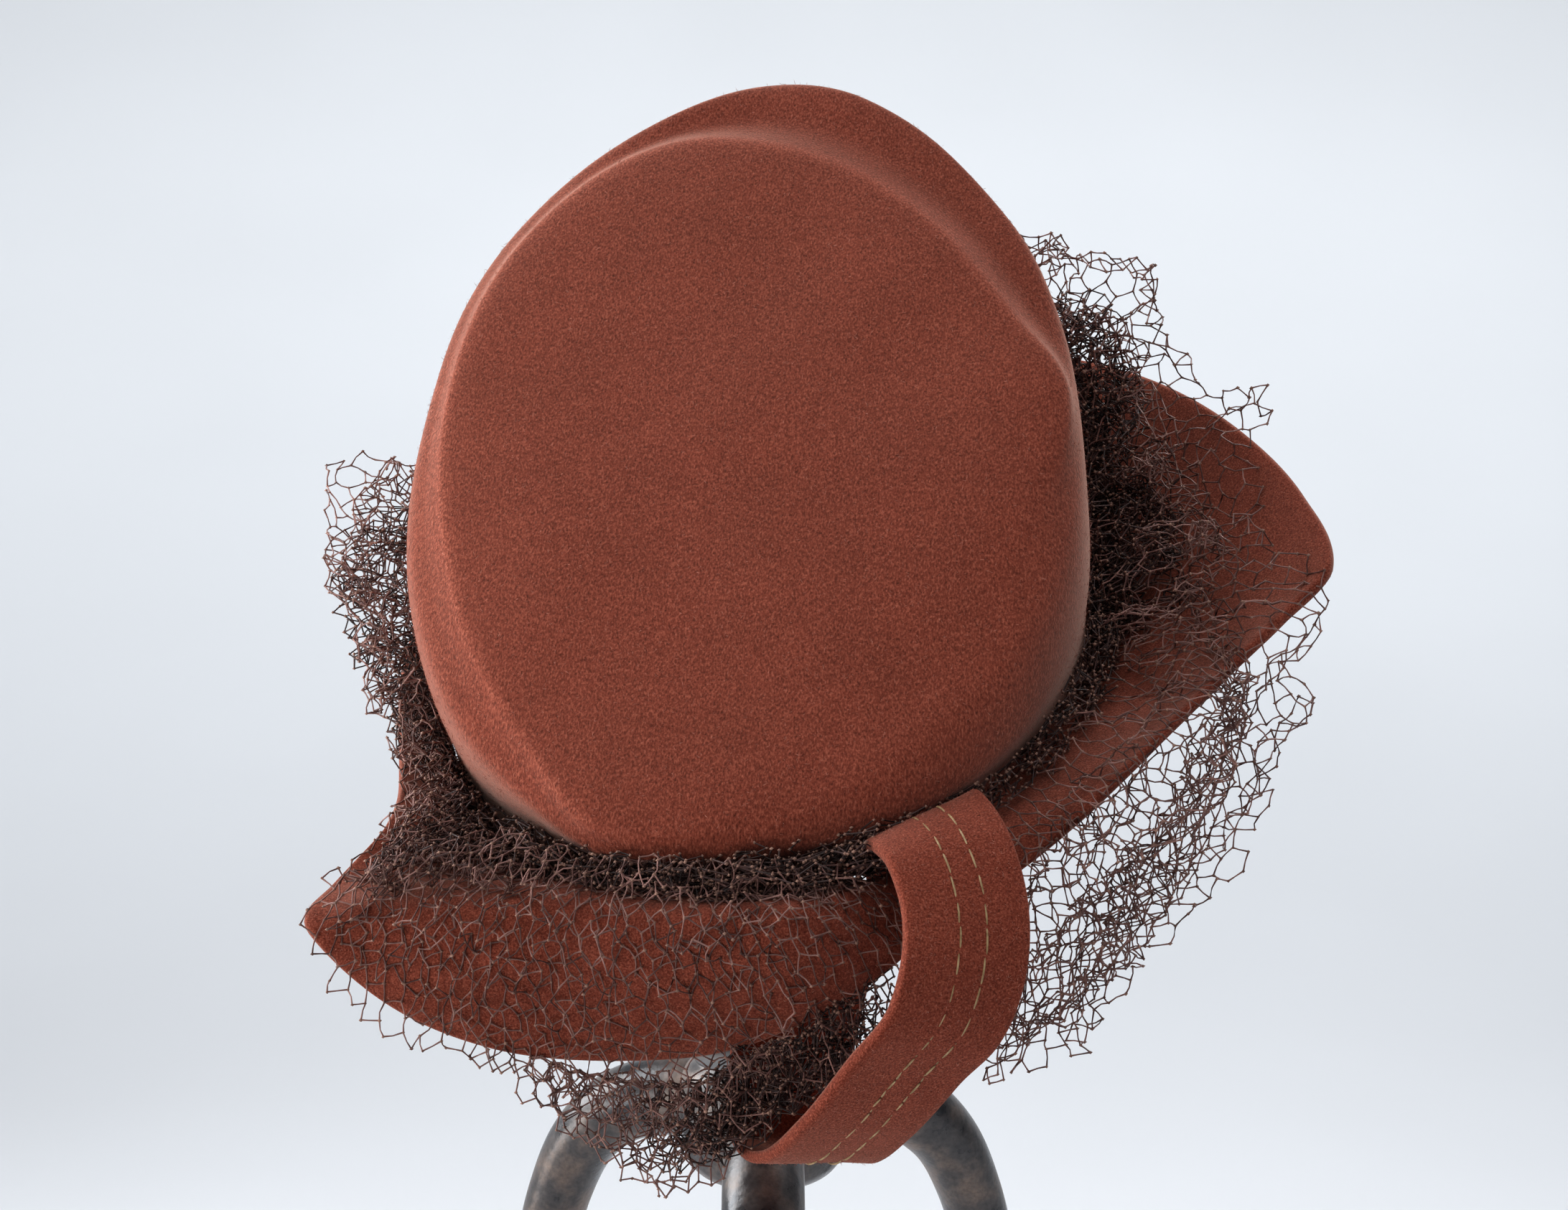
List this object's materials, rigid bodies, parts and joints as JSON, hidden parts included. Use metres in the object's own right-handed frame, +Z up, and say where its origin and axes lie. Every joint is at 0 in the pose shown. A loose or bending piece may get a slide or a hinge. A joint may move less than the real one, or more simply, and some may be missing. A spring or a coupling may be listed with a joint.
{
  "type": "tilt hat on a tripod stand",
  "caption": "Felt tilt hat with a slanted flat-topped crown, pointed saddle brim, draped net veil and stitched back strap, held tipped on a dark iron tripod stand.",
  "frame": {"origin": "middle of the bounding box, at the floor under the stand's feet", "axes": "+Z up; the picture looks along +Y at the strap's side, with +X to its right"},
  "size_m": [0.2562, 0.2106, 0.3659],
  "materials": {
    "felt": "brushed wool felt",
    "net": "knotted net",
    "iron": "dark patina"
  },
  "bodies": {
    "root": {"crown": "felt", "brim": "felt", "back_strap": "felt", "veil": "net", "stand": "iron", "stand_post": "iron"}
  },
  "joints": []
}
